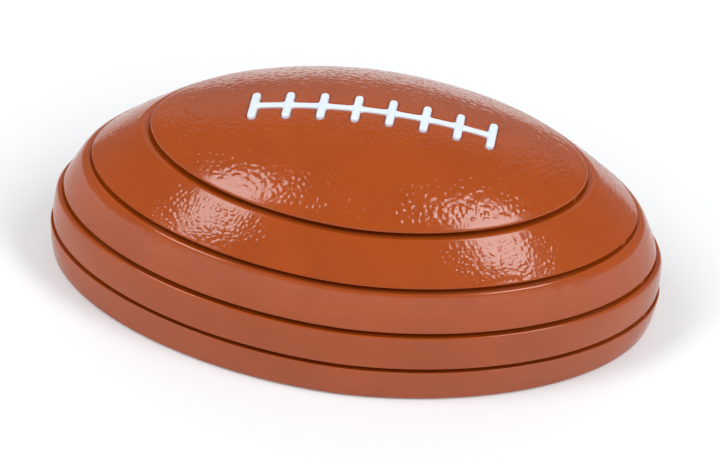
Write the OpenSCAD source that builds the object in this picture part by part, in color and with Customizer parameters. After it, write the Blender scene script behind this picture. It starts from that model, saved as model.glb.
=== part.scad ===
// Football display case: a stack of four shallow oval trays under a domed cover.
// Every tray swivels on one upright pivot near the left end, so the stack fans out.
// Units are millimetres. +X runs along the ball, +Z is up, and the feet stand on z = 0.

/* [Outline] */
// Half-length of the cover's lower edge
cover_half = 106; // [102:0.5:108]
// Half-length of the upper tray's lower edge
upper_half = 133.5; // [130:0.5:135]
// Half-length of the middle tray's lower edge
middle_half = 146; // [145:0.5:148]
// Half-length of the lower tray's lower edge
lower_half = 150; // [149:0.5:152]
// Half-length of the base's lower edge
base_half = 149; // [147:0.5:150]
// Width of the oval as a share of its length
oval_ratio = 0.6; // [0.56:0.01:0.64]
// How far a wall bulges past the straight line between its two edges
wall_bulge = 0.6; // [0.3:0.1:1]

/* [Heights] */
// Height of the lower tray's lower edge
lower_z = 19.5; // [19:0.5:20]
// Height of the middle tray's lower edge
middle_z = 39.5; // [39:0.5:40]
// Height of the upper tray's lower edge
upper_z = 60.5; // [60:0.5:61]
// Height of the cover's lower edge
cover_z = 80.5; // [80:0.5:81]
// Height of the dome's crown
crown_z = 103.4; // [101:0.1:104]
// Open seam between one tier and the next
seam = 1; // [0.8:0.1:1.2]
// How far the feet lift the base
foot_lift = 0.8; // [0.6:0.1:1.2]

/* [Shells] */
// Thickness of the outer walls
wall = 2.2; // [1.8:0.1:2.6]
// Thickness of the floors and of the ledges
floor_t = 2; // [1.8:0.1:2.2]
// How far each ledge runs in under the tier above it
ledge_tuck = 6; // [5:0.5:7]
// Thickness of the foam liner in each tray
liner_t = 2; // [1.5:0.5:2.5]
// Diameter of the round seats in the liners
seat_d = 27; // [24:1:28]

/* [Pivot] */
// Distance of the pivot from the middle of the case
pivot_back = 72; // [68:1:76]
// Angle that each tier swings out from the one below it
swing = 32; // [20:1:40]
// Outside diameter of the pivot sleeve
sleeve_d = 8; // [7:0.5:8]
// Radial running clearance of the hubs on the sleeve
running = 0.05; // [0.02:0.01:0.08]

/* [Lacing] */
// Distance from one crossbar to the next
lace_pitch = 16.5; // [15:0.5:17]
// Length of a crossbar
lace_len = 19.4; // [16:0.1:20]
// Width of the crossbars and of the strip
lace_w = 3.4; // [3:0.1:4]
// How far the crossbars stand out of the dome
lace_rise = 1.4; // [1:0.1:1.8]

/* [Hidden] */

$fn = 160;
over = 5;
big = 400;

// Gap left round a piece that is pressed or glued in
press_gap = 0.02;
// Gap above or below a piece that turns against another
turn_gap = 0.05;
// Gap round a piece that is let into another one
inlay_gap = 0.1;

// How far each ledge stands out past the tier above, at the ends of the oval
base_ledge = 1;
lower_ledge = 2.4;
middle_ledge = 2.8;
upper_ledge = 3.2;
side_tuck = 0.7 * ledge_tuck;

hub_r = 13.5;
bore_r = sleeve_d / 2 + running;
stop_ring_r = 11;
stop_r = 1.1;
stop_gap = 0.2;
stop_depth = 2.2;
stop_slack = 0.4;
stop_angle = 90 + swing / 2;

cover_lip = 1.5;
dome_sag = crown_z - cover_z - cover_lip;
dome_r = (cover_half * cover_half + dome_sag * dome_sag) / (2 * dome_sag);
dome_centre_z = crown_z - dome_r;
cover_wall = 2.4;

lace_count = 8;
strip_rise = 0.8;
strip_sink = 0.9;
bar_sink = 1.1;
lace_stud_r = 1.2;
lace_stud_len = cover_wall + 1;
lace_studs = [0, 2, 5, 7];
lace_fit = 0.05;
lace_step = lace_pitch / dome_r * 180 / PI;
lace_half_span = (lace_count - 1) / 2 * lace_step;

bolt_r = 2.5;
bolt_head_r = 4.6;
bolt_head_t = 3;
bolt_key_r = 1.6;
bolt_key_depth = 1.6;
recess_r = 6.4;
washer_r = 5.6;
washer_t = 1;
spring_r = 5;
spring_t = 1.4;
spring_slit = 0.8;
head_z = 1.6;
shoulder_z = head_z + bolt_head_t + washer_t + spring_t;
sleeve_top = cover_z + 3.5;
insert_r = 3.6;
insert_len = 5;
bolt_top = sleeve_top + insert_len;
hub_washer_r = 8.5;

foot_r = 6;
foot_t = 2;
foot_ring = 0.82;
foot_angles = [30, 90, 150, 210, 270, 330];

pad_r = 1.8;
pad_angle = 14;
pad_inset = 2;

liner_gap = 0.3;
liner_end_gap = 5;
liner_side_gap = 4.5;
seat_step = seat_d + 4;
seat_shift = 4;
seat_reach = seat_d / 2 + 2;
seat_room = 8;

function width_of(half) = oval_ratio * half;
function chord(r1, z1, r2, z2) = norm([r1 - r2, z1 - z2]);
function bulge_r(c) = (c * c / 4 + wall_bulge * wall_bulge) / (2 * wall_bulge);

// Centre of the arc that joins the lower edge [r1, z1] to the upper edge [r2, z2]
function arc_centre(r1, z1, r2, z2) =
    let (c = chord(r1, z1, r2, z2), h = bulge_r(c) - wall_bulge)
    [(r1 + r2) / 2 - h * (z2 - z1) / c, (z1 + z2) / 2 + h * (r2 - r1) / c];

// A turned solid squeezed to an oval that is half wide by half long
module oval(half, half_width) {
    scale([1, half_width / half, 1])
        rotate_extrude()
            children();
}

// The section inside one arc, from the axis outwards, between two heights
module arc_band(low, high, r1, z1, r2, z2, inset) {
    c = arc_centre(r1, z1, r2, z2);
    intersection() {
        union() {
            translate(c)
                circle(r = bulge_r(chord(r1, z1, r2, z2)) - inset, $fn = 720);
            translate([0, low - over])
                square([c[0], high - low + 2 * over]);
        }
        translate([0, low])
            square([big, high - low]);
    }
}

module slab(low, high) {
    translate([-big / 2, -big / 2, low])
        cube([big, big, high - low]);
}

module at_pivot() {
    translate([-pivot_back, 0, 0])
        children();
}

module disc(r, low, high) {
    translate([0, 0, low])
        cylinder(r = r, h = high - low);
}

// Curved groove that the stop peg of the next tier runs in
module stop_groove(top) {
    translate([0, 0, top - stop_depth]) {
        rotate([0, 0, stop_angle - swing])
            rotate_extrude(angle = swing)
                translate([stop_ring_r - stop_r - stop_gap, 0])
                    square([2 * (stop_r + stop_gap), stop_depth + over]);
        for (a = [stop_angle, stop_angle - swing])
            rotate([0, 0, a])
                translate([stop_ring_r, 0, 0])
                    cylinder(r = stop_r + stop_gap, h = stop_depth + over);
    }
}

// Peg under a tier that runs in the groove of the tier below
module stop_peg(bottom) {
    rotate([0, 0, stop_angle])
        translate([stop_ring_r, 0, bottom - seam - stop_depth + stop_slack])
            cylinder(r = stop_r, h = seam + stop_depth - stop_slack + floor_t / 2);
}

// Outer wall, floor and ledge of one tray. half and low are its lower edge,
// rim and high its upper edge, and above is the half-length of the tier on top.
module tray_shell(half, low, rim, high, above) {
    mouth = above - ledge_tuck;
    difference() {
        intersection() {
            oval(half, width_of(half))
                arc_band(low - over, high + over, half, low, rim, high, 0);
            slab(low, high);
        }
        oval(half - wall, width_of(half) - wall)
            arc_band(low + floor_t, high - floor_t, half, low, rim, high, wall);
        oval(mouth, width_of(above) - side_tuck)
            translate([0, low + floor_t + over])
                square([mouth, high - low]);
    }
}

// A tray that turns on the sleeve: shell, hub, stop groove above and stop peg below
module swivel_tray(half, low, rim, high, above) {
    difference() {
        union() {
            tray_shell(half, low, rim, high, above);
            at_pivot() {
                disc(hub_r, low + floor_t / 2, high);
                stop_peg(low);
            }
        }
        at_pivot() {
            disc(bore_r, low - over, high + over);
            stop_groove(high);
        }
    }
}

module base_tray() {
    color("chocolate")
        difference() {
            union() {
                tray_shell(base_half, foot_lift, lower_half + base_ledge,
                    lower_z - seam, lower_half);
                at_pivot()
                    disc(hub_r, foot_lift + floor_t / 2, lower_z - seam);
            }
            at_pivot() {
                disc(recess_r, 0, shoulder_z);
                disc(sleeve_d / 2 + press_gap, 0, lower_z);
                stop_groove(lower_z - seam);
            }
            foot_places()
                disc(foot_r + inlay_gap, 0, foot_t);
        }
}

module lower_tray() {
    color("chocolate")
        swivel_tray(lower_half, lower_z, middle_half + lower_ledge,
            middle_z - seam, middle_half);
}

module middle_tray() {
    color("chocolate")
        swivel_tray(middle_half, middle_z, upper_half + middle_ledge,
            upper_z - seam, upper_half);
}

module upper_tray() {
    color("chocolate")
        swivel_tray(upper_half, upper_z, cover_half + upper_ledge,
            cover_z - seam, cover_half);
}

// Section of the dome, inset from its outer face
module dome_section(inset) {
    intersection() {
        translate([0, dome_centre_z])
            circle(r = dome_r - inset, $fn = 720);
        translate([0, cover_z - over])
            square([cover_half - inset, crown_z]);
    }
}

// Thin dome with a solid boss left standing round the pivot
module cover_shell() {
    difference() {
        intersection() {
            oval(cover_half, width_of(cover_half))
                dome_section(0);
            slab(cover_z, crown_z + over);
        }
        difference() {
            oval(cover_half - cover_wall, width_of(cover_half) - cover_wall)
                dome_section(cover_wall);
            at_pivot()
                disc(hub_r, 0, crown_z + over);
        }
    }
}

module cover() {
    color("chocolate")
        difference() {
            union() {
                cover_shell();
                at_pivot()
                    stop_peg(cover_z);
            }
            at_pivot() {
                disc(bore_r, 0, sleeve_top + inlay_gap);
                disc(insert_r + press_gap, 0, bolt_top + inlay_gap);
            }
            lace_strip(lace_fit);
            for (i = [0 : lace_count - 1])
                lace_place(i)
                    lace_bar(lace_fit);
            for (i = lace_studs)
                lace_place(i)
                    lace_stud(lace_fit);
        }
}

// Turns about the dome's centre to one crossbar, with z = 0 on the dome
module lace_place(i) {
    translate([0, 0, dome_centre_z])
        rotate([0, (i - (lace_count - 1) / 2) * lace_step, 0])
            translate([0, 0, dome_r])
                children();
}

// Round-ended crossbar, grown by fit and sunk into the dome
module lace_bar(fit) {
    reach = (lace_len - lace_w) / 2;
    translate([0, 0, -bar_sink - fit])
        linear_extrude(height = bar_sink + fit + lace_rise) {
            square([lace_w + 2 * fit, 2 * reach], center = true);
            for (side = [-1, 1])
                translate([0, side * reach])
                    circle(r = lace_w / 2 + fit);
        }
}

module lace_stud(fit) {
    translate([0, 0, -lace_stud_len])
        cylinder(r = lace_stud_r + fit, h = lace_stud_len);
}

// The strip under the crossbars, bent along the crown of the dome
module lace_strip(fit) {
    translate([0, 0, dome_centre_z])
        rotate([90, 0, 0])
            rotate([0, 0, 90 - lace_half_span])
                rotate_extrude(angle = 2 * lace_half_span, $fn = 720)
                    translate([dome_r - strip_sink - fit, -lace_w / 2 - fit])
                        square([strip_sink + fit + strip_rise, lace_w + 2 * fit]);
}

module lacing() {
    color("white")
        union() {
            lace_strip(0);
            for (i = [0 : lace_count - 1])
                lace_place(i)
                    lace_bar(0);
            for (i = lace_studs)
                lace_place(i)
                    lace_stud(0);
        }
}

// Centres of the liner's round seats, on a grid that keeps clear of the wall and the hub
function seat_places(half) =
    let (room = half - seat_room)
    [for (ix = [-5 : 5], iy = [-2 : 2])
        let (x = ix * seat_step + seat_shift, y = iy * seat_step)
        if (norm([(abs(x) + seat_reach * 0.75) / room,
                  (abs(y) + seat_reach * 0.85) / width_of(room)]) < 1
            && norm([x + pivot_back, y]) > hub_r + seat_reach)
            [x, y]];

// Foam sheet with round seats, lying on a tray's floor
module liner(low, half) {
    edge = half - liner_end_gap;
    translate([0, 0, low + floor_t])
        linear_extrude(height = liner_t)
            difference() {
                scale([1, (width_of(half) - liner_side_gap) / edge])
                    circle(r = edge);
                translate([-pivot_back, 0])
                    circle(r = hub_r + liner_gap);
                for (p = seat_places(half))
                    translate(p)
                        circle(d = seat_d);
            }
}

module liner_base() {
    color("dimgray")
        liner(foot_lift, base_half - 1);
}

module liner_lower() {
    color("dimgray")
        liner(lower_z, middle_half);
}

module liner_middle() {
    color("dimgray")
        liner(middle_z, upper_half + 2);
}

module liner_upper() {
    color("dimgray")
        liner(upper_z, cover_half + 8);
}

// Pair of low pads on a ledge, under the far edge of the tier above
module glide_pads(z, above) {
    reach = above - pad_r - pad_inset;
    side_reach = width_of(reach) - pad_inset;
    for (side = [-1, 1])
        translate([reach * cos(pad_angle), side * side_reach * sin(pad_angle), z])
            cylinder(r = pad_r, h = seam - inlay_gap);
}

module glide_pads_base() {
    color("ivory")
        glide_pads(lower_z - seam, lower_half);
}

module glide_pads_lower() {
    color("ivory")
        glide_pads(middle_z - seam, middle_half);
}

module glide_pads_middle() {
    color("ivory")
        glide_pads(upper_z - seam, upper_half);
}

module glide_pads_upper() {
    color("ivory")
        glide_pads(cover_z - seam, cover_half);
}

// Slippery washer that fills the seam between two hubs
module hub_washer(top) {
    at_pivot()
        difference() {
            disc(hub_washer_r, top - seam, top - turn_gap);
            disc(bore_r + inlay_gap, top - over, top + over);
        }
}

module hub_washer_base() {
    color("ivory")
        hub_washer(lower_z);
}

module hub_washer_lower() {
    color("ivory")
        hub_washer(middle_z);
}

module hub_washer_middle() {
    color("ivory")
        hub_washer(upper_z);
}

module hub_washer_upper() {
    color("ivory")
        hub_washer(cover_z);
}

// Tube fixed in the base that every hub turns on
module pivot_sleeve() {
    color("silver")
        at_pivot()
            difference() {
                disc(sleeve_d / 2, shoulder_z, sleeve_top);
                disc(bolt_r + inlay_gap, 0, sleeve_top + over);
            }
}

// Long screw from the recess under the base up into the cover's insert
module pivot_bolt() {
    color("silver")
        at_pivot()
            difference() {
                union() {
                    disc(bolt_head_r, head_z, head_z + bolt_head_t);
                    disc(bolt_r, head_z + bolt_head_t / 2, bolt_top);
                }
                translate([0, 0, head_z - over])
                    cylinder(r = bolt_key_r, h = over + bolt_key_depth, $fn = 6);
            }
}

module ring(r, hole, low, high) {
    difference() {
        disc(r, low, high);
        disc(hole, low - over, high + over);
    }
}

module bolt_washer() {
    z = head_z + bolt_head_t;
    color("silver")
        at_pivot()
            ring(washer_r, bolt_r + inlay_gap, z, z + washer_t - press_gap);
}

module spring_washer() {
    z = head_z + bolt_head_t + washer_t;
    color("gray")
        at_pivot()
            difference() {
                ring(spring_r, bolt_r + inlay_gap, z, z + spring_t - press_gap);
                translate([0, -spring_slit / 2, z - over])
                    cube([big, spring_slit, spring_t + 2 * over]);
            }
}

module threaded_insert() {
    color("gold")
        at_pivot()
            ring(insert_r, bolt_r + press_gap, sleeve_top + inlay_gap, bolt_top);
}

module foot_places() {
    for (a = foot_angles)
        translate([foot_ring * base_half * cos(a), foot_ring * width_of(base_half) * sin(a), 0])
            children();
}

module feet() {
    color("black")
        foot_places()
            disc(foot_r, 0, foot_t);
}

base_tray();
lower_tray();
middle_tray();
upper_tray();
cover();
lacing();
liner_base();
liner_lower();
liner_middle();
liner_upper();
glide_pads_base();
glide_pads_lower();
glide_pads_middle();
glide_pads_upper();
hub_washer_base();
hub_washer_lower();
hub_washer_middle();
hub_washer_upper();
pivot_sleeve();
pivot_bolt();
bolt_washer();
spring_washer();
threaded_insert();
feet();
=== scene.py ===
# A football-shaped display case: four swivelling oval trays under a domed cover with raised
# white laces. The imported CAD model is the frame, and the meshes here give it its finish.
import itertools
import math
from collections import namedtuple

import bmesh
import bpy
import numpy as np
from mathutils import Matrix, Vector
from mathutils.geometry import delaunay_2d_cdt, tessellate_polygon


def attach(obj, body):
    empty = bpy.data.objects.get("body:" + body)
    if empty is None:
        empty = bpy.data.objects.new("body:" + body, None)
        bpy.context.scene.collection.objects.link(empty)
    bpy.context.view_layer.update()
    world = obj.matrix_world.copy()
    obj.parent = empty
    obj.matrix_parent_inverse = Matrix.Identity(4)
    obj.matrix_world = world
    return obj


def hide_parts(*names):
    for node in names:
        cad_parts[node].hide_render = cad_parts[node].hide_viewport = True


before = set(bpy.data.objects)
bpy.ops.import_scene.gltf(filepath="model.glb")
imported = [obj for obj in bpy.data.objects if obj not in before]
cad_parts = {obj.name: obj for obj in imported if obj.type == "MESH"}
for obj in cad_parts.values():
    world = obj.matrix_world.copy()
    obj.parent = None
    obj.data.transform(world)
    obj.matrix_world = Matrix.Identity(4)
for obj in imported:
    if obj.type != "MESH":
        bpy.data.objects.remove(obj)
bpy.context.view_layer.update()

MM = 0.001

# ------------------------------------------------------------------ sizes, in millimetres

WIDTH_RATIO = 0.6
OVAL_POWER = 1.87  # 2 would be an ellipse, and less is more pointed at the ends
SEAM = 1.0
WALL = 2.2
FLOOR = 2.0
BULGE = 0.6  # how far a tray's wall bows out between its edges
EDGE_R = 0.6
LEDGE_TUCK = 6.0  # how far a ledge reaches in under the tier above, at the ends
SIDE_TUCK = 4.2  # and at the sides

# Half-length and height of a tray's lower edge, and how far its ledge stands out past the tier
# above at the ends and at the sides
Tray = namedtuple("Tray", "half low end_ledge side_ledge")
TRAYS = {
    "base": Tray(149.0, 0.8, 1.0, 0.8),
    "lower": Tray(150.0, 19.5, 2.6, 1.7),
    "middle": Tray(146.0, 39.5, 3.0, 2.6),
    "upper": Tray(133.5, 60.5, 3.0, 3.3),
}
# Inside its rim a ledge dips, and carries its glide pads on two low bosses
DIP = 1.6
DIP_INSET = 0.9
RIM_DROP = 0.2
PAD_INSET = 3.8
PAD_SIDE_INSET = 2.0
PAD_ANGLE = math.radians(14)
PAD_BOSS_R = 2.3

COVER_HALF = 106.0
COVER_LOW = 80.5
CROWN = 103.4
COVER_LIP = 1.5
COVER_WALL = 2.4
DOME_SAG = CROWN - COVER_LOW - COVER_LIP
DOME_R = (COVER_HALF**2 + DOME_SAG**2) / (2 * DOME_SAG)

# Pivot, with a peg under each tier in a curved groove in the hub below; angles in degrees
PIVOT_X = -72.0
HUB_R = 13.5
BORE_R = 4.05
SLEEVE_R = 4.0
STOP_RING_R = 11.0
STOP_R = 1.1
STOP_GAP = 0.2
STOP_DEPTH = 2.2
STOP_SLACK = 0.4
HUB_ROUND = 0.5
BORE_CHAMFER = 0.25
SWING = 32.0
STOP_ANGLE = 90 + SWING / 2

# The screw head's recess in the base, and the sleeve and insert in the cover's boss
RECESS_R = 6.4
RECESS_TOP = 7.0
SLEEVE_TOP = 84.1
INSERT_R = 3.62
INSERT_TOP = 89.1

FOOT_R = 6.0
FOOT_TOP = 2.0
FOOT_RING = 0.82
FOOT_ANGLES = (30, 90, 150, 210, 270, 330)

LACE_COUNT = 8
LACE_PITCH = 16.5
LACE_LENGTH = 19.4
LACE_WIDTH = 4.0
LACE_LEAN = 0.075
LACE_RISE = 1.5
LACE_ROUND = 1.0
LACE_ROOT = 1.6
STRIP_HALF = 1.65
STRIP_RISE = 0.8
STRIP_SPLAY = 0.7

LINER_HEIGHT = 2.0
SEAT_D = 27.0
SEAT_GAP = 4.0

# Camera: angles in degrees, lens in millimetres, distance and aim in metres
CAMERA_ELEVATION = 38.32
CAMERA_AZIMUTH = -0.49
CAMERA_ROLL = 7.62
CAMERA_LENS = 181.7
CAMERA_DISTANCE = 1.8
CAMERA_AIM_RIGHT = 0.0007
CAMERA_AIM_UP = 0.0243

# ------------------------------------------------------------------ small helpers


def link(name, mesh, material):
    obj = bpy.data.objects.new(name, mesh)
    bpy.context.scene.collection.objects.link(obj)
    mesh.materials.append(material)
    return obj


def stand_in(obj, node, body):
    """Lets obj stand for a CAD node, which it hides, and ride on body."""
    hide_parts(node)
    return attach(obj, body)


def smoothstep(low, high, value):
    t = np.clip((value - low) / (high - low), 0, 1)
    return t * t * (3 - 2 * t)


def signed_power(value, power):
    """The value raised to power as if it were positive, with its own sign."""
    return np.sign(value) * np.abs(value) ** power


def outline(count):
    """Points of the oval at unit size, evenly spaced along the real outline."""
    t = np.linspace(0, 2 * np.pi, 20001)
    x = signed_power(np.cos(t), 2 / OVAL_POWER)
    y = signed_power(np.sin(t), 2 / OVAL_POWER)
    steps = np.hypot(np.diff(x), WIDTH_RATIO * np.diff(y))
    length = np.concatenate([[0], np.cumsum(steps)])
    at = np.interp(np.linspace(0, length[-1], count, endpoint=False), length, t)
    return np.stack(
        [signed_power(np.cos(at), 2 / OVAL_POWER), signed_power(np.sin(at), 2 / OVAL_POWER)],
        axis=1,
    )


def oval_ring(unit, row):
    """The oval whose half-length, half-width and height are the three numbers of row."""
    half, width, z = row
    return np.column_stack([unit[:, 0] * half, unit[:, 1] * width, np.full(len(unit), z)])


def arc(x, y, radius, angles):
    return np.column_stack([x + radius * np.cos(angles), y + radius * np.sin(angles)])


def circle(x, y, radius, z, count):
    around = np.linspace(0, 2 * np.pi, count, endpoint=False)
    return np.column_stack([arc(x, y, radius, around), np.full(count, z)])


def bend(start, point, end, steps):
    """Rows along a smooth bend from start to end that is drawn towards point."""
    t = np.linspace(0, 1, steps + 1)[:, None]
    return list((1 - t) ** 2 * start + 2 * t * (1 - t) * point + t**2 * end)


def corner(before, point, after, radius, steps=5):
    """Rows that round the corner at point, between its neighbours before and after."""
    before, point, after = (np.asarray(p, float) for p in (before, point, after))
    start = point + (before - point) / np.linalg.norm(before - point) * radius
    end = point + (after - point) / np.linalg.norm(after - point) * radius
    return bend(start, point, end, steps)


# ------------------------------------------------------------------ moulded grain


def cell_jitter(cell, seed):
    """Three repeatable random numbers for each whole-numbered cell."""
    x, y, z = (cell[:, i].astype(np.uint64) for i in range(3))
    mixed = x * np.uint64(73856093) ^ y * np.uint64(19349663) ^ z * np.uint64(83492791)
    mixed ^= np.uint64(seed * 2654435761)
    parts = []
    for _ in range(3):
        mixed ^= mixed >> np.uint64(29)
        mixed *= np.uint64(0xBF58476D1CE4E5B9)
        mixed ^= mixed >> np.uint64(32)
        parts.append((mixed & np.uint64(0xFFFFFF)).astype(float) / 0x1000000)
    return np.stack(parts, axis=1)


def pebbles(points, size, seed):
    """Leather pebbles: about 1 in the middle of each, and 0 in the creases between them."""
    scaled = points / size
    base = np.floor(scaled)
    first = np.full(len(points), 9.0)
    second = np.full(len(points), 9.0)
    for offset in itertools.product((-1, 0, 1), repeat=3):
        cell = base + offset
        far = np.linalg.norm(cell + cell_jitter(cell + 4096, seed) - scaled, axis=1)
        second = np.minimum(second, np.maximum(first, far))
        first = np.minimum(first, far)
    return smoothstep(0.0, 0.5, second - first) * (1 - 0.6 * first**2)


def swell(points, size, seed):
    """Slow, smooth waves between -1 and 1."""
    rng = np.random.default_rng(seed)
    total = np.zeros(len(points))
    for _ in range(6):
        direction = rng.normal(size=3)
        direction /= np.linalg.norm(direction)
        wave = 2 * np.pi / (size * rng.uniform(0.7, 1.6))
        total += np.sin(points @ direction * wave + rng.uniform(0, 6.28))
    return total / 6


def grain(points, look, wave):
    """Uneven pebbles of two sizes, drawn out of shape, on slow waves of this size."""
    pebble, seed = look["pebble"], look["seed"]
    drift = [swell(points, 2.6 * pebble, seed + 10 + i) for i in range(3)]
    moved = points + 0.55 * pebble * np.column_stack(drift)
    uneven = 0.75 + 0.45 * swell(points, 7 * pebble, seed + 1)
    height = 0.75 * pebbles(moved, pebble, seed) + 0.25 * pebbles(moved, pebble / 2, seed + 3)
    waves = look["wave"] * swell(points, wave, seed + 2)
    return look["depth"] * uneven * (height - 0.5) + waves


# ------------------------------------------------------------------ mesh building


class Shape:
    """The points and faces of one mesh of closed surfaces, in millimetres."""

    def __init__(self):
        self.points = np.empty((0, 3))
        self.faces = []
        self.flat = []

    def add(self, points):
        """Adds points and returns their indices, which make a loop where they go round."""
        start = len(self.points)
        self.points = np.vstack([self.points, points])
        return np.arange(start, len(self.points))

    def bridge(self, a, b, flat=False):
        """Faces between two closed loops of as many points."""
        quads = np.stack([a, np.roll(a, -1), np.roll(b, -1), b], axis=1)
        self.faces += quads.tolist()
        self.flat += [flat] * len(quads)

    def run(self, loop, rings, flat=False):
        """Carries a loop on through more rings and returns the last one's loop."""
        for ring in rings:
            following = self.add(ring)
            self.bridge(loop, following, flat)
            loop = following
        return loop

    def cap(self, outer, *holes):
        """A level face inside outer, with holes in it."""
        loops = [outer, *holes]
        index = np.concatenate(loops)
        flat_loops = [[Vector((x, y, 0)) for x, y, _ in self.points[k]] for k in loops]
        triangles = index[np.array(tessellate_polygon(flat_loops))]
        self.faces += triangles.tolist()
        self.flat += [True] * len(triangles)

    def skin(self, loops, inner, height):
        """A curved sheet z = height(x, y) between fixed loops, through the inner points."""
        index = np.concatenate(loops)
        edges = []
        start = 0
        for loop in loops:
            n = len(loop)
            edges += [(start + i, start + (i + 1) % n) for i in range(n)]
            start += n
        new = self.add(np.column_stack([inner, height(inner[:, 0], inner[:, 1])]))
        index = np.concatenate([index, new])
        flat_points = [Vector((x, y)) for x, y in self.points[index][:, :2]]
        found = delaunay_2d_cdt(flat_points, edges, [], 1, 1e-6, False)
        triangles = np.array(found[2])
        for hole in loops[1:]:
            middle = self.points[hole][:, :2].mean(axis=0)
            reach = np.linalg.norm(self.points[hole][:, :2] - middle, axis=1).max()
            centres = self.points[index][triangles][:, :, :2].mean(axis=1)
            triangles = triangles[np.linalg.norm(centres - middle, axis=1) > reach * 0.999]
        self.faces += index[triangles].tolist()
        self.flat += [False] * len(triangles)

    def build(self, name, material):
        """The Blender object, with its faces turned outwards."""
        mesh = bpy.data.meshes.new(name)
        mesh.from_pydata((self.points * MM).tolist(), [], self.faces)
        mesh.polygons.foreach_set("use_smooth", [not f for f in self.flat])
        work = bmesh.new()
        work.from_mesh(mesh)
        bmesh.ops.recalc_face_normals(work, faces=work.faces)
        work.to_mesh(mesh)
        work.free()
        mesh.update()
        return link(name, mesh, material)


def displaced(unit, wall, height, fade):
    """Wall rows pushed out along their own normals by height, faded by row."""
    grid = np.stack([oval_ring(unit, row) for row in wall])
    along = np.roll(grid, -1, axis=1) - np.roll(grid, 1, axis=1)
    up = np.gradient(grid, axis=0)
    normal = np.cross(along, up)
    normal /= np.linalg.norm(normal, axis=2, keepdims=True)
    lift = height(grid.reshape(-1, 3)).reshape(grid.shape[:2]) * fade[:, None]
    return grid + normal * lift[:, :, None]


# ------------------------------------------------------------------ materials


def shader(name, colour, roughness, **sockets):
    """A new material and its tree, with a Principled shader that has these values."""
    material = bpy.data.materials.new(name)
    material.use_nodes = True
    tree = material.node_tree
    surface = tree.nodes["Principled BSDF"]
    surface.inputs["Base Color"].default_value = (*colour, 1)
    surface.inputs["Roughness"].default_value = roughness
    for key, value in sockets.items():
        surface.inputs[key.replace("_", " ")].default_value = value
    return material, tree, surface


def noise(tree, size, detail=3.0, roughness=0.55, stretch=(1, 1, 1)):
    """Noise whose features are about size millimetres across, in the object's own space."""
    place = tree.nodes.new("ShaderNodeTexCoord")
    scale = tree.nodes.new("ShaderNodeMapping")
    scale.inputs["Scale"].default_value = [s / (size * MM) for s in stretch]
    texture = tree.nodes.new("ShaderNodeTexNoise")
    texture.inputs["Scale"].default_value = 1
    texture.inputs["Detail"].default_value = detail
    texture.inputs["Roughness"].default_value = roughness
    tree.links.new(place.outputs["Object"], scale.inputs["Vector"])
    tree.links.new(scale.outputs["Vector"], texture.inputs["Vector"])
    return texture.outputs["Fac"]


def vary_colour(tree, surface, driver, dark, light):
    ramp = tree.nodes.new("ShaderNodeValToRGB")
    ramp.color_ramp.elements[0].position = 0.3
    ramp.color_ramp.elements[0].color = (*dark, 1)
    ramp.color_ramp.elements[1].position = 0.7
    ramp.color_ramp.elements[1].color = (*light, 1)
    tree.links.new(driver, ramp.inputs["Fac"])
    tree.links.new(ramp.outputs["Color"], surface.inputs["Base Color"])


def vary_roughness(tree, surface, driver, low, high):
    spread = tree.nodes.new("ShaderNodeMapRange")
    spread.inputs["From Min"].default_value = 0.3
    spread.inputs["From Max"].default_value = 0.7
    spread.inputs["To Min"].default_value = low
    spread.inputs["To Max"].default_value = high
    tree.links.new(driver, spread.inputs["Value"])
    tree.links.new(spread.outputs["Result"], surface.inputs["Roughness"])


def bump(tree, surface, driver, depth, before=None):
    """Relief of depth millimetres, on top of an earlier bump if there is one."""
    relief = tree.nodes.new("ShaderNodeBump")
    relief.inputs["Strength"].default_value = 1
    relief.inputs["Distance"].default_value = depth * MM
    tree.links.new(driver, relief.inputs["Height"])
    if before:
        tree.links.new(before.outputs["Normal"], relief.inputs["Normal"])
    tree.links.new(relief.outputs["Normal"], surface.inputs["Normal"])
    return relief


def tint(colour, factor):
    return tuple(c * factor for c in colour)


def brown_plastic():
    colour = (0.375, 0.0605, 0.0035)
    material, tree, surface = shader("brown_plastic", colour, 0.14, IOR=1.5)
    vary_colour(tree, surface, noise(tree, 28, 2), tint(colour, 0.93), tint(colour, 1.05))
    vary_roughness(tree, surface, noise(tree, 6), 0.10, 0.16)
    waves = bump(tree, surface, noise(tree, 5, 1), 0.03)
    bump(tree, surface, noise(tree, 0.9, 2), 0.006, waves)
    return material


def white_plastic():
    colour = (0.76, 0.85, 0.95)
    material, tree, surface = shader("white_plastic", colour, 0.38)
    vary_colour(tree, surface, noise(tree, 9, 2), tint(colour, 0.96), tint(colour, 1.02))
    vary_roughness(tree, surface, noise(tree, 3), 0.33, 0.45)
    bump(tree, surface, noise(tree, 0.8, 2), 0.012)
    return material


def felt():
    colour = (0.026, 0.026, 0.030)
    material, tree, surface = shader("liner_felt", colour, 0.95, Sheen_Weight=0.35)
    surface.inputs["Sheen Roughness"].default_value = 0.6
    vary_colour(tree, surface, noise(tree, 1.4, 4), tint(colour, 0.6), tint(colour, 1.6))
    fibres = bump(tree, surface, noise(tree, 0.5, 4, 0.7, (1, 3, 1)), 0.10)
    bump(tree, surface, noise(tree, 0.7, 4, 0.7, (3, 1, 1)), 0.12, fibres)
    return material


def nylon():
    colour = (0.66, 0.61, 0.48)
    material, tree, surface = shader("nylon", colour, 0.45)
    vary_colour(tree, surface, noise(tree, 4), tint(colour, 0.93), tint(colour, 1.04))
    bump(tree, surface, noise(tree, 0.6, 2), 0.01)
    return material


def metal(name, colour, low, high):
    material, tree, surface = shader(name, colour, low, Metallic=1.0)
    brushed = noise(tree, 1.0, 3, 0.6, (1, 1, 12))
    vary_colour(tree, surface, noise(tree, 5), tint(colour, 0.9), tint(colour, 1.05))
    vary_roughness(tree, surface, brushed, low, high)
    bump(tree, surface, brushed, 0.006)
    return material


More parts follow.
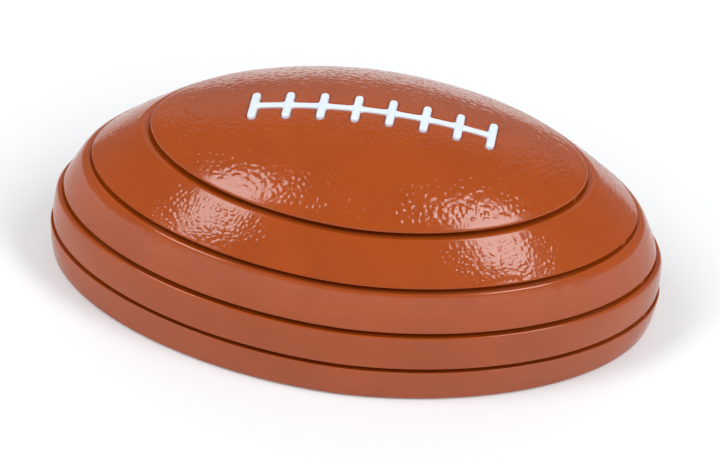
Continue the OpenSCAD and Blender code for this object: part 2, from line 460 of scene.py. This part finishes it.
def rubber():
    colour = (0.016, 0.016, 0.017)
    material, tree, surface = shader("foot_rubber", colour, 0.8)
    vary_roughness(tree, surface, noise(tree, 2), 0.65, 0.9)
    bump(tree, surface, noise(tree, 0.5, 3), 0.03)
    return material


BROWN = brown_plastic()
WHITE = white_plastic()
FELT = felt()
RUBBER = rubber()
FRAME_MATERIALS = {
    "glide_pads": nylon(),
    "hub_washer": nylon(),
    "pivot": metal("steel", (0.50, 0.50, 0.52), 0.25, 0.45),
    "threaded_insert": metal("brass", (0.65, 0.45, 0.17), 0.25, 0.4),
}
FRAME_MATERIALS["bolt_washer"] = FRAME_MATERIALS["pivot"]
FRAME_MATERIALS["spring_washer"] = FRAME_MATERIALS["pivot"]


# ------------------------------------------------------------------ hubs, grooves and pegs


def on_stop_ring(angle):
    """The point at this angle, in radians, on the ring where the stop pegs run."""
    return PIVOT_X + STOP_RING_R * math.cos(angle), STOP_RING_R * math.sin(angle)


def slot_outline(z):
    """Closed outline of the curved stop groove round the pivot."""
    half = STOP_R + STOP_GAP
    first, last = np.radians([STOP_ANGLE - SWING, STOP_ANGLE])
    sweep = np.linspace(first, last, 24)
    turn = np.linspace(0, np.pi, 13)
    flat = np.vstack([
        arc(PIVOT_X, 0, STOP_RING_R + half, sweep[:-1]),
        arc(*on_stop_ring(last), half, last + turn),
        arc(PIVOT_X, 0, STOP_RING_R - half, sweep[-2:0:-1]),
        arc(*on_stop_ring(first), half, first + np.pi + turn[:-1]),
    ])
    return np.column_stack([flat, np.full(len(flat), z)])


def add_peg(shape, bottom):
    """The stop peg under a tier; returns its root loop, a hole in the tier's underside."""
    x, y = on_stop_ring(math.radians(STOP_ANGLE))
    tip = bottom - SEAM - STOP_DEPTH + STOP_SLACK
    root = shape.add(circle(x, y, STOP_R, bottom, 24))
    chamfer = [(STOP_R, tip + 0.3), (STOP_R - 0.3, tip)]
    end = shape.run(root, [circle(x, y, r, z, 24) for r, z in chamfer])
    shape.cap(end)
    return root


def add_hub(shape, foot, top):
    """Hub wall from the loop at its foot, with a rounded rim, bore and stop groove on top.
    Returns the bore's loop at the top."""
    in_part = 0.3 * HUB_ROUND
    rim = [(HUB_R, top - HUB_ROUND), (HUB_R - in_part, top - in_part), (HUB_R - HUB_ROUND, top)]
    edge = shape.run(foot, [circle(PIVOT_X, 0, r, z, len(foot)) for r, z in rim])
    bore = shape.add(circle(PIVOT_X, 0, BORE_R + BORE_CHAMFER, top, 64))
    groove = shape.add(slot_outline(top))
    shape.cap(edge, bore, groove)
    shape.cap(shape.run(groove, [slot_outline(top - STOP_DEPTH)], flat=True))
    return bore


def foot_places():
    """Centres of the six feet."""
    for angle in FOOT_ANGLES:
        turn = math.radians(angle)
        reach = FOOT_RING * TRAYS["base"].half
        yield reach * math.cos(turn), WIDTH_RATIO * reach * math.sin(turn)


# ------------------------------------------------------------------ trays


def tray(name, high, above, look):
    """A tray's wall, ledge, floor and hub as one shell, and the bosses for its glide pads.
    Returns the shape with the loops of its underside and bore, which are still open."""
    shape = Shape()
    unit = outline(look["columns"])
    half, low, end_ledge, side_ledge = TRAYS[name]
    inset = np.array([1, 1, 0])
    lower_edge = np.array([half, WIDTH_RATIO * half, low])
    edge_above = np.array([above, WIDTH_RATIO * above, high])
    shelf = edge_above - (DIP_INSET, DIP_INSET, DIP)
    rim_edge = edge_above + (end_ledge, side_ledge, -RIM_DROP)
    lean = np.array([high - low, WIDTH_RATIO * (high - low), half - rim_edge[0]])
    lean /= np.linalg.norm(lean)

    def wall_row(u):
        return lower_edge + (rim_edge - lower_edge) * u + lean * BULGE * 4 * u * (1 - u)

    length = np.linalg.norm((rim_edge - lower_edge)[[0, 2]])
    rim_start = 1 - look["soft"] / length
    share = np.linspace(EDGE_R / length, rim_start, round(length / look["row"]))
    wall = np.array([wall_row(u) for u in share])

    mouth = edge_above - (LEDGE_TUCK, SIDE_TUCK, DIP)
    under = mouth - (0, 0, FLOOR)
    inner_top = wall_row(1 - FLOOR / (high - low)) - inset * WALL
    inner_top[2] = high - FLOOR - DIP
    inner_low = wall_row(FLOOR / (high - low)) - inset * WALL
    inner_low[2] = low + FLOOR

    # underside, lower edge and wall
    start = corner(lower_edge - inset, lower_edge, wall[0], EDGE_R, 4)
    loops = [shape.add(oval_ring(unit, row)) for row in start[:-1]]
    underside = loops[0]
    for a, b in zip(loops, loops[1:]):
        shape.bridge(a, b)
    from_ends = np.minimum(share, 1 - share) * length
    fade = smoothstep(GRAIN_START, look["margin"], from_ends)
    grid = displaced(unit, wall, lambda points: grain(points, look, TRAY_WAVE), fade)
    loop = shape.run(loops[-1], grid)

    # rim, crisp along the sides and softer round the ends, ledge, mouth and the inner faces
    on_ledge = shelf + (rim_edge - shelf) * 0.15
    crisp = [wall[-1], *corner(wall[-1], rim_edge, shelf, look["rim"], 7), on_ledge]
    soft = bend(wall[-1], rim_edge, on_ledge, 9)
    roundness = smoothstep(0.7, 0.95, np.abs(unit[:, 0]))[:, None]
    for sharp_row, soft_row in list(zip(crisp, soft))[1:]:
        sharp_ring, soft_ring = oval_ring(unit, sharp_row), oval_ring(unit, soft_row)
        loop = shape.run(loop, [sharp_ring + (soft_ring - sharp_ring) * roundness])
    rows = corner(on_ledge, shelf, mouth, 0.6, 4)
    loop = shape.run(loop, [oval_ring(unit, row) for row in rows])
    mouth_rows = corner(shelf, mouth, under, 0.5, 3)
    loop = shape.run(loop, [oval_ring(unit, mouth_rows[0])], flat=True)
    loop = shape.run(loop, [oval_ring(unit, r) for r in mouth_rows[1:]])
    coarse = [oval_ring(unit, row) for row in (under, inner_top)]
    loop = shape.run(loop, coarse, flat=True)
    middle = [wall_row(u) - inset * WALL for u in np.linspace(0.75, 0.25, 3)]
    loop = shape.run(loop, [oval_ring(unit, row) for row in middle])
    toe = corner(middle[-1], inner_low, inner_low - inset, 1.2, 3)
    loop = shape.run(loop, [oval_ring(unit, row) for row in toe])

    # bosses under the glide pads
    reach = above - PAD_INSET
    pad_x = reach * math.cos(PAD_ANGLE)
    pad_y = (WIDTH_RATIO * reach - PAD_SIDE_INSET) * math.sin(PAD_ANGLE)
    for side in (-1, 1):
        rows = [
            (PAD_BOSS_R + 0.4, high - DIP - 0.6), (PAD_BOSS_R, high - DIP + 0.3),
            (PAD_BOSS_R, high - 0.2), (PAD_BOSS_R - 0.2, high),
        ]
        rings = [circle(pad_x, side * pad_y, r, z, 40) for r, z in rows]
        foot = shape.add(rings[0])
        shape.cap(foot)
        shape.cap(shape.run(foot, rings[1:]))

    # floor and hub
    hub = shape.add(circle(PIVOT_X, 0, HUB_R, low + FLOOR, 128))
    shape.cap(loop, hub)
    bore = add_hub(shape, hub, high)
    return shape, underside, bore


def swivel_tray(name, above_half, above_low, look):
    """A tray that turns on the one below: its hub is bored for the sleeve, with a peg under it."""
    low, high = TRAYS[name].low, above_low - SEAM
    shape, underside, bore = tray(name, high, above_half, look)
    bore_rows = [
        (BORE_R, high - BORE_CHAMFER), (BORE_R, low + BORE_CHAMFER), (BORE_R + BORE_CHAMFER, low),
    ]
    hole = shape.run(bore, [circle(PIVOT_X, 0, r, z, 64) for r, z in bore_rows])
    shape.cap(underside, hole, add_peg(shape, low))
    obj = shape.build(f"{name}_tray_shell", BROWN)
    return stand_in(obj, f"{name}_tray", name)


def base_tray(look):
    """The tray that stands still: it holds the sleeve, the screw's head and the feet."""
    low, high = TRAYS["base"].low, TRAYS["lower"].low - SEAM
    shape, underside, bore = tray("base", high, TRAYS["lower"].half, look)
    bore_rows = [(SLEEVE_R, high - BORE_CHAMFER), (SLEEVE_R, RECESS_TOP)]
    hole = shape.run(bore, [circle(PIVOT_X, 0, r, z, 64) for r, z in bore_rows])
    recess = [(RECESS_R, RECESS_TOP), (RECESS_R, low + 0.4), (RECESS_R + 0.4, low)]
    rings = [circle(PIVOT_X, 0, r, z, 64) for r, z in recess]
    hole = shape.run(hole, rings[:1], flat=True)
    hole = shape.run(hole, rings[1:])
    holes = [hole]
    for x, y in foot_places():
        mouth = shape.add(circle(x, y, FOOT_R + 0.1, low, 48))
        shape.cap(shape.run(mouth, [circle(x, y, FOOT_R + 0.1, FOOT_TOP, 48)]))
        holes.append(mouth)
    shape.cap(underside, *holes)
    return stand_in(shape.build("base_tray_shell", BROWN), "base_tray", "base")


# ------------------------------------------------------------------ cover


def lace_x(i):
    """Where crossbar i stands along the case."""
    return DOME_R * math.sin((i - (LACE_COUNT - 1) / 2) * LACE_PITCH / DOME_R)


def lace_distance(x, y):
    """Distance outside the outline of the lacing, negative inside it."""
    half = LACE_WIDTH / 2
    reach = LACE_LENGTH / 2 - half
    best = np.maximum(np.abs(y), np.abs(x) - lace_x(LACE_COUNT - 1) + half) - half
    for i in range(LACE_COUNT):
        past = np.maximum(np.abs(y) - reach, 0)
        best = np.minimum(best, np.hypot(x - lace_x(i) - LACE_LEAN * y, past) - half)
    return best


def oval_share(x, y, half, width):
    """0 in the middle of the oval of this half-length and half-width, and 1 on its outline."""
    share = np.abs(x / half) ** OVAL_POWER + np.abs(y / width) ** OVAL_POWER
    return share ** (1 / OVAL_POWER)


def dome(x, y, inset=0.0):
    """Height of the dome, inset from its outer face."""
    half, width = COVER_HALF - inset, WIDTH_RATIO * COVER_HALF - inset
    reach = half * np.minimum(oval_share(x, y, half, width), 1)
    return CROWN - DOME_R + np.sqrt((DOME_R - inset) ** 2 - reach**2)


def honeycomb(step, half, width):
    """Points on a triangular grid over a rectangle."""
    xs = np.arange(-half, half, step)
    ys = np.arange(-width, width, step * math.sqrt(0.75))
    x, y = np.meshgrid(xs, ys)
    x = x + (np.arange(len(ys)) % 2)[:, None] * step / 2
    return np.column_stack([x.ravel(), y.ravel()])


def within(points, half, width):
    """Which of the points lie inside the oval."""
    return oval_share(points[:, 0], points[:, 1], half, width) < 1


def cover(look):
    """The domed lid, hollow, with a boss over the pivot and a recess round the lacing."""
    shape = Shape()
    unit = outline(look["columns"])
    half, width = COVER_HALF, WIDTH_RATIO * COVER_HALF
    lip_top = np.array([half, width, COVER_LOW + COVER_LIP])
    lip_low = np.array([half, width, COVER_LOW])
    edge = look["edge"]
    shoulder = np.array([half - edge, width - edge, 0])
    shoulder[2] = dome(shoulder[0], 0.0)

    # outer dome: fine where the laces sit, coarser elsewhere
    fine_half, fine_width = lace_x(LACE_COUNT - 1) + 8, LACE_LENGTH / 2 + 4
    fine = honeycomb(look["fine"], fine_half, fine_width)
    coarse = honeycomb(look["row"], half, width)
    clear = (np.abs(coarse[:, 0]) > fine_half) | (np.abs(coarse[:, 1]) > fine_width)
    keep = within(coarse, shoulder[0] - look["row"], shoulder[1] - look["row"])
    points = np.vstack([fine, coarse[clear & keep]])

    def surface(x, y):
        z = dome(x, y)
        on_dome = np.column_stack([x, y, z])
        to_edge = (1 - oval_share(x, y, half, width)) * width
        to_lace = lace_distance(x, y)
        fade = smoothstep(edge, look["margin"], to_edge) * smoothstep(1.4, 2.8, to_lace)
        lift = grain(on_dome, look, COVER_WAVE)
        recess = look["recess"] * (1 - smoothstep(0.5, 1.4, to_lace))
        return z + fade * lift - recess

    rim = shape.add(oval_ring(unit, shoulder))
    shape.skin([rim], points, surface)

    # rounded edge, lip, underside and inner dome with its boss
    rows = corner(shoulder, lip_top, lip_low, edge, 6)[1:]
    rows += corner(lip_top, lip_low, lip_low - (1, 1, 0), 0.4, 3)
    loop = shape.run(rim, [oval_ring(unit, row) for row in rows])
    inner_half, inner_width = half - COVER_WALL, width - COVER_WALL
    inner_edge = np.array([inner_half, inner_width, COVER_LOW])
    loop = shape.run(loop, [oval_ring(unit, inner_edge)], flat=True)
    inner_edge[2] = dome(inner_half, 0.0, COVER_WALL)
    loop = shape.run(loop, [oval_ring(unit, inner_edge)])
    boss = circle(PIVOT_X, 0, HUB_R, 0, 96)
    boss[:, 2] = dome(boss[:, 0], boss[:, 1], COVER_WALL)
    boss_top = shape.add(boss)
    clearance = 3
    points = honeycomb(5, half, width)
    points = points[within(points, inner_half - clearance, inner_width - clearance)]
    points = points[np.hypot(points[:, 0] - PIVOT_X, points[:, 1]) > HUB_R + clearance]
    shape.skin([loop, boss_top], points, lambda x, y: dome(x, y, COVER_WALL))
    boss_rows = [(HUB_R, COVER_LOW + 0.4), (HUB_R - 0.4, COVER_LOW)]
    foot = shape.run(boss_top, [circle(PIVOT_X, 0, r, z, 96) for r, z in boss_rows])
    hole = shape.add(circle(PIVOT_X, 0, BORE_R, COVER_LOW, 64))
    shape.cap(foot, hole, add_peg(shape, COVER_LOW))
    bore_rows = [(BORE_R, SLEEVE_TOP), (INSERT_R, SLEEVE_TOP), (INSERT_R, INSERT_TOP)]
    shape.cap(shape.run(hole, [circle(PIVOT_X, 0, r, z, 64) for r, z in bore_rows]))
    return stand_in(shape.build("cover_shell", BROWN), "cover", "cover")


# ------------------------------------------------------------------ lacing


def pill(length, width, count=16):
    """Outline of a round-ended bar across the case, with its middle at the origin."""
    reach, radius = length / 2 - width / 2, width / 2
    turn = np.linspace(0, np.pi, count + 1)
    top = np.column_stack([radius * np.cos(turn), reach + radius * np.sin(turn)])
    return np.vstack([top, -top])


def crossbar(shape, i):
    """A bar with a rounded top, which bends down at its ends a little less than the dome."""
    x0 = lace_x(i)
    slope = -x0 / math.sqrt(DOME_R**2 - x0**2)
    shoulder = LACE_RISE - LACE_ROUND
    rows = [(0, -LACE_ROOT), (0, shoulder)]
    for turn in np.linspace(0, np.pi / 2, 6)[1:]:
        rows.append((LACE_ROUND * (1 - math.cos(turn)), shoulder + LACE_ROUND * math.sin(turn)))
    loop = None
    for inset, rise in rows:
        flat = pill(LACE_LENGTH - 2 * inset, LACE_WIDTH - 2 * inset)
        x = x0 + flat[:, 0] + LACE_LEAN * flat[:, 1] - rise * slope
        z = dome(x, flat[:, 1] * 0.75) + rise
        ring = np.column_stack([x, flat[:, 1], z])
        if loop is None:
            loop = shape.add(ring)
            shape.cap(loop)
        else:
            loop = shape.run(loop, [ring])
    shape.cap(loop)


def strip(shape):
    """The strip under the crossbars, which widens a little where it meets each of them."""
    end = lace_x(LACE_COUNT - 1)
    xs = np.linspace(-end, end, 400)
    gap = np.min([np.abs(xs - lace_x(i)) for i in range(LACE_COUNT)], axis=0)
    splay = np.exp(-np.maximum(gap - LACE_WIDTH / 2, 0) / 0.8)
    half = STRIP_HALF + STRIP_SPLAY * splay
    top = STRIP_RISE + 0.15 * splay
    root = np.full(len(xs), -LACE_ROOT)
    section = [(-1, root), (-1, top - 0.5), (-0.72, top), (0.72, top), (1, top - 0.5), (1, root)]
    loops = []
    for side, rise in section:
        y = side * half
        loops.append(shape.add(np.column_stack([xs, y, dome(xs, y) + rise])))
    around = np.array(loops).T
    for a, b in zip(around, around[1:]):
        shape.bridge(a, b)
    shape.faces += [around[0].tolist(), around[-1].tolist()]
    shape.flat += [True, True]


def lacing():
    """Crossbars and strip fused into one moulding with soft inside corners."""
    shape = Shape()
    strip(shape)
    for i in range(LACE_COUNT):
        crossbar(shape, i)
    rough = shape.build("lacing_parts", WHITE)
    fuse = rough.modifiers.new("fuse", "REMESH")
    fuse.mode = "VOXEL"
    fuse.voxel_size = 0.21 * MM
    fuse.use_smooth_shade = True
    soften = rough.modifiers.new("soften", "SMOOTH")
    soften.factor = 0.5
    soften.iterations = 5
    bpy.context.view_layer.update()
    seen = rough.evaluated_get(bpy.context.evaluated_depsgraph_get())
    mesh = bpy.data.meshes.new_from_object(seen)
    bpy.data.objects.remove(rough)
    mesh.materials.clear()
    return stand_in(link("lacing_moulding", mesh, WHITE), "lacing", "cover")


# ------------------------------------------------------------------ liners and feet


def seat_places(half):
    """Centres of a liner's round seats, clear of the wall and of the hub."""
    step, reach, room = SEAT_D + SEAT_GAP, (SEAT_D + SEAT_GAP) / 2, half - 8
    for ix, iy in itertools.product(range(-5, 6), range(-2, 3)):
        x, y = ix * step + 4, iy * step
        share = math.hypot(
            (abs(x) + reach * 0.75) / room, (abs(y) + reach * 0.85) / (WIDTH_RATIO * room)
        )
        if share < 1 and math.hypot(x - PIVOT_X, y) > HUB_R + reach:
            yield x, y


def liner(name, half, low):
    """Felt-covered foam sheet with rounded edges and round seats."""
    shape = Shape()
    unit = outline(360)
    size = np.array([half - 5, WIDTH_RATIO * half - 4.5])
    foot, top, soft = low + FLOOR, low + FLOOR + LINER_HEIGHT, 0.7
    turn = np.linspace(0, np.pi / 2, 5)
    rows = [(0, foot)] + [(soft * (1 - np.cos(t)), top - soft + soft * np.sin(t)) for t in turn]
    rings = [oval_ring(unit, (*(size - inset), z)) for inset, z in rows]
    lowest = shape.add(rings[0])
    outer = shape.run(lowest, rings[1:])
    holes = [(PIVOT_X, 0, HUB_R + 0.3)]
    holes += [(x, y, SEAT_D / 2) for x, y in seat_places(half)]
    below, above = [], []
    for x, y, radius in holes:
        rings = [circle(x, y, radius + inset, z, 72) for inset, z in rows]
        below.append(shape.add(rings[0]))
        above.append(shape.run(below[-1], rings[1:]))
    shape.cap(lowest, *below)
    shape.cap(outer, *above)
    obj = shape.build(f"felt_liner_{name}", FELT)
    return stand_in(obj, f"liner_{name}", name)


def feet():
    """Six rubber discs, each with a rounded edge and a shallow ring moulded in its face."""
    shape = Shape()
    rows = [
        (FOOT_R, FOOT_TOP), (FOOT_R, 0.5), (FOOT_R - 0.15, 0.15), (FOOT_R - 0.5, 0),
        (FOOT_R - 2, 0), (FOOT_R - 2.3, 0.3), (FOOT_R - 3.2, 0.3), (FOOT_R - 3.5, 0),
    ]
    for x, y in foot_places():
        first = shape.add(circle(x, y, *rows[0], 64))
        shape.cap(first)
        shape.cap(shape.run(first, [circle(x, y, r, z, 64) for r, z in rows[1:]]))
    return stand_in(shape.build("rubber_feet", RUBBER), "feet", "base")


# ------------------------------------------------------------------ camera, floor and light


def camera():
    """A camera that looks down at the front of the case, rolled a little."""
    elevation, azimuth = math.radians(CAMERA_ELEVATION), math.radians(CAMERA_AZIMUTH)
    roll = math.radians(CAMERA_ROLL)
    back = Vector((
        math.sin(azimuth) * math.cos(elevation),
        -math.cos(azimuth) * math.cos(elevation),
        math.sin(elevation),
    ))
    right = Vector((math.cos(azimuth), math.sin(azimuth), 0))
    up = back.cross(right)
    target = right * CAMERA_AIM_RIGHT + up * CAMERA_AIM_UP
    data = bpy.data.cameras.new("camera")
    data.lens = CAMERA_LENS
    data.clip_end = 30
    obj = bpy.data.objects.new("camera", data)
    bpy.context.scene.collection.objects.link(obj)
    across = right * math.cos(roll) + up * math.sin(roll)
    upright = up * math.cos(roll) - right * math.sin(roll)
    turn = Matrix((across, upright, back)).transposed().to_4x4()
    obj.matrix_world = Matrix.Translation(target + back * CAMERA_DISTANCE) @ turn
    bpy.context.scene.camera = obj


def softbox(name, direction, distance, size, radiance, along=(0, 1, 0)):
    """An area light aimed at the case; size is in metres, and its second side runs along."""
    data = bpy.data.lights.new(name, "AREA")
    data.shape = "RECTANGLE"
    data.size, data.size_y = size
    data.energy = radiance * math.pi * size[0] * size[1]
    obj = bpy.data.objects.new(name, data)
    bpy.context.scene.collection.objects.link(obj)
    place = Vector(direction).normalized()
    side = Vector(along).cross(place).normalized()
    turn = Matrix((side, place.cross(side), place)).transposed().to_4x4()
    obj.matrix_world = Matrix.Translation(place * distance + Vector((0, 0, 0.05))) @ turn


def studio_floor():
    """Pale floor that glows more and more away from the case."""
    reach = 5.0
    mesh = bpy.data.meshes.new("floor")
    corners = [(-reach, -reach, 0), (reach, -reach, 0), (reach, reach, 0), (-reach, reach, 0)]
    mesh.from_pydata(corners, [], [(0, 1, 2, 3)])
    material, tree, surface = shader("floor", (0.79, 0.815, 0.82), 0.6)
    surface.inputs["Emission Color"].default_value = (1, 1, 1, 1)
    place = tree.nodes.new("ShaderNodeTexCoord")
    away = tree.nodes.new("ShaderNodeVectorMath")
    away.operation = "LENGTH"
    glow = tree.nodes.new("ShaderNodeMapRange")
    glow.inputs["From Min"].default_value = 0.12
    glow.inputs["From Max"].default_value = 0.8
    glow.inputs["To Min"].default_value = 0.12
    glow.inputs["To Max"].default_value = 0.7
    tree.links.new(place.outputs["Object"], away.inputs[0])
    tree.links.new(away.outputs["Value"], glow.inputs["Value"])
    tree.links.new(glow.outputs["Result"], surface.inputs["Emission Strength"])
    link("floor", mesh, material)


def studio_lights():
    """A strip light at each side, the right one stronger, and a weak softbox at the back."""
    strip_distance, strip_size = 1.7, (0.48, 1.5)
    for name, side, radiance in (("softbox_left", -1, 6.9), ("softbox_right", 1, 7.8)):
        direction, along = (side * 0.57, -0.30, 0.77), (-side * 0.34, 0.61, 0.28)
        softbox(name, direction, strip_distance, strip_size, radiance, along)
    softbox("softbox_back", (0, 0.80, 0.60), 2.2, (2.4, 1.2), 0.35)


def surround():
    """Even light from all round, a little weaker from above."""
    world = bpy.data.worlds.new("surround")
    bpy.context.scene.world = world
    world.use_nodes = True
    tree = world.node_tree
    place = tree.nodes.new("ShaderNodeTexCoord")
    split = tree.nodes.new("ShaderNodeSeparateXYZ")
    ramp = tree.nodes.new("ShaderNodeValToRGB")
    ramp.color_ramp.elements[0].position = 0.25
    ramp.color_ramp.elements[0].color = (0.42, 0.43, 0.45, 1)
    ramp.color_ramp.elements[1].position = 0.6
    ramp.color_ramp.elements[1].color = (0.28, 0.28, 0.30, 1)
    tree.links.new(place.outputs["Generated"], split.inputs["Vector"])
    tree.links.new(split.outputs["Z"], ramp.inputs["Fac"])
    tree.links.new(ramp.outputs["Color"], tree.nodes["Background"].inputs["Color"])


# ------------------------------------------------------------------ the case

# Size of the slow waves in the grain, and how near to an edge it may come
TRAY_WAVE = 16.0
COVER_WAVE = 20.0
GRAIN_START = 0.4

# Mesh and grain of each tray: points round it (columns), the step between rows, how far from the
# edges the grain has its full depth (margin), the size and depth of the pebbles, the depth of the
# slow waves, the rim's radius along the sides, and how far below it the soft bend at the ends
# starts
LOOKS = {
    "base": dict(
        columns=900, row=0.8, margin=3.0, pebble=2.6, depth=0.02, wave=0.03,
        rim=0.8, soft=1.5, seed=11,
    ),
    "lower": dict(
        columns=900, row=0.8, margin=3.0, pebble=2.6, depth=0.02, wave=0.03,
        rim=1.5, soft=3.5, seed=12,
    ),
    "middle": dict(
        columns=1100, row=0.6, margin=3.5, pebble=2.2, depth=0.13, wave=0.04,
        rim=1.6, soft=5.0, seed=13,
    ),
    "upper": dict(
        columns=1120, row=0.55, margin=3.0, pebble=2.3, depth=0.2, wave=0.03,
        rim=1.8, soft=4.5, seed=14,
    ),
}
# The cover also has a finer mesh round the laces, a rounded edge and a recess along the laces
COVER_LOOK = dict(
    columns=900, row=0.66, fine=0.36, margin=4.5, pebble=3.4, depth=0.33, wave=0.05,
    edge=0.9, recess=0.5, seed=5,
)

camera()
base_tray(LOOKS["base"])
swivel_tray("lower", TRAYS["middle"].half, TRAYS["middle"].low, LOOKS["lower"])
swivel_tray("middle", TRAYS["upper"].half, TRAYS["upper"].low, LOOKS["middle"])
swivel_tray("upper", COVER_HALF, COVER_LOW, LOOKS["upper"])
cover(COVER_LOOK)
lacing()
# Liners end near the mouths of their trays, or a little past them under the ledges
liner("base", TRAYS["base"].half - 1, TRAYS["base"].low)
liner("lower", TRAYS["middle"].half, TRAYS["lower"].low)
liner("middle", TRAYS["upper"].half + 2, TRAYS["middle"].low)
liner("upper", COVER_HALF + 8, TRAYS["upper"].low)
feet()

for node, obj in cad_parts.items():
    for start, material in FRAME_MATERIALS.items():
        if node.startswith(start):
            obj.data.materials.clear()
            obj.data.materials.append(material)

studio_floor()
studio_lights()
surround()
bpy.context.scene.view_settings.view_transform = "Standard"
